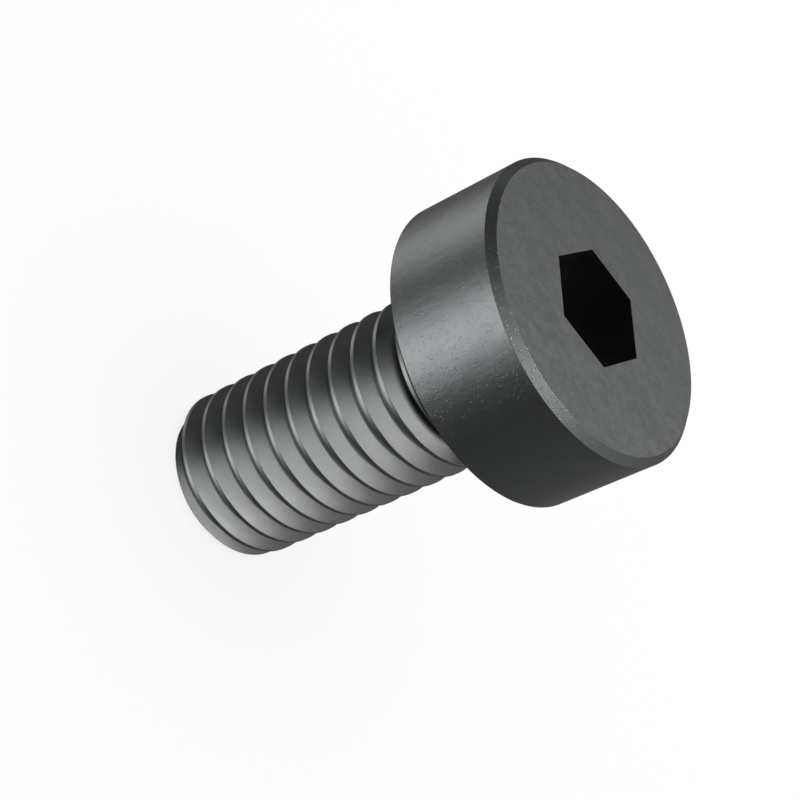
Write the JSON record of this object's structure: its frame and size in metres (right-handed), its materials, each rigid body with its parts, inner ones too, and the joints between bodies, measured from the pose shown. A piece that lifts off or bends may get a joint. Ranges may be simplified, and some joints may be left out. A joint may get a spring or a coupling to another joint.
{
  "type": "low head socket cap screw",
  "caption": "Low cylindrical head with a chamfered top and a hexagon socket, on a short shank threaded to the head, in dark blackened steel.",
  "frame": {"origin": "centre of the bearing face under the head", "axes": "+Z along the screw's axis, from the threaded end towards the head's top face; +X through a corner of the hexagon socket"},
  "size_m": [0.0085, 0.0084, 0.0133],
  "materials": {
    "blackened_steel": "satin"
  },
  "bodies": {
    "root": {"screw": "blackened_steel"}
  },
  "joints": []
}
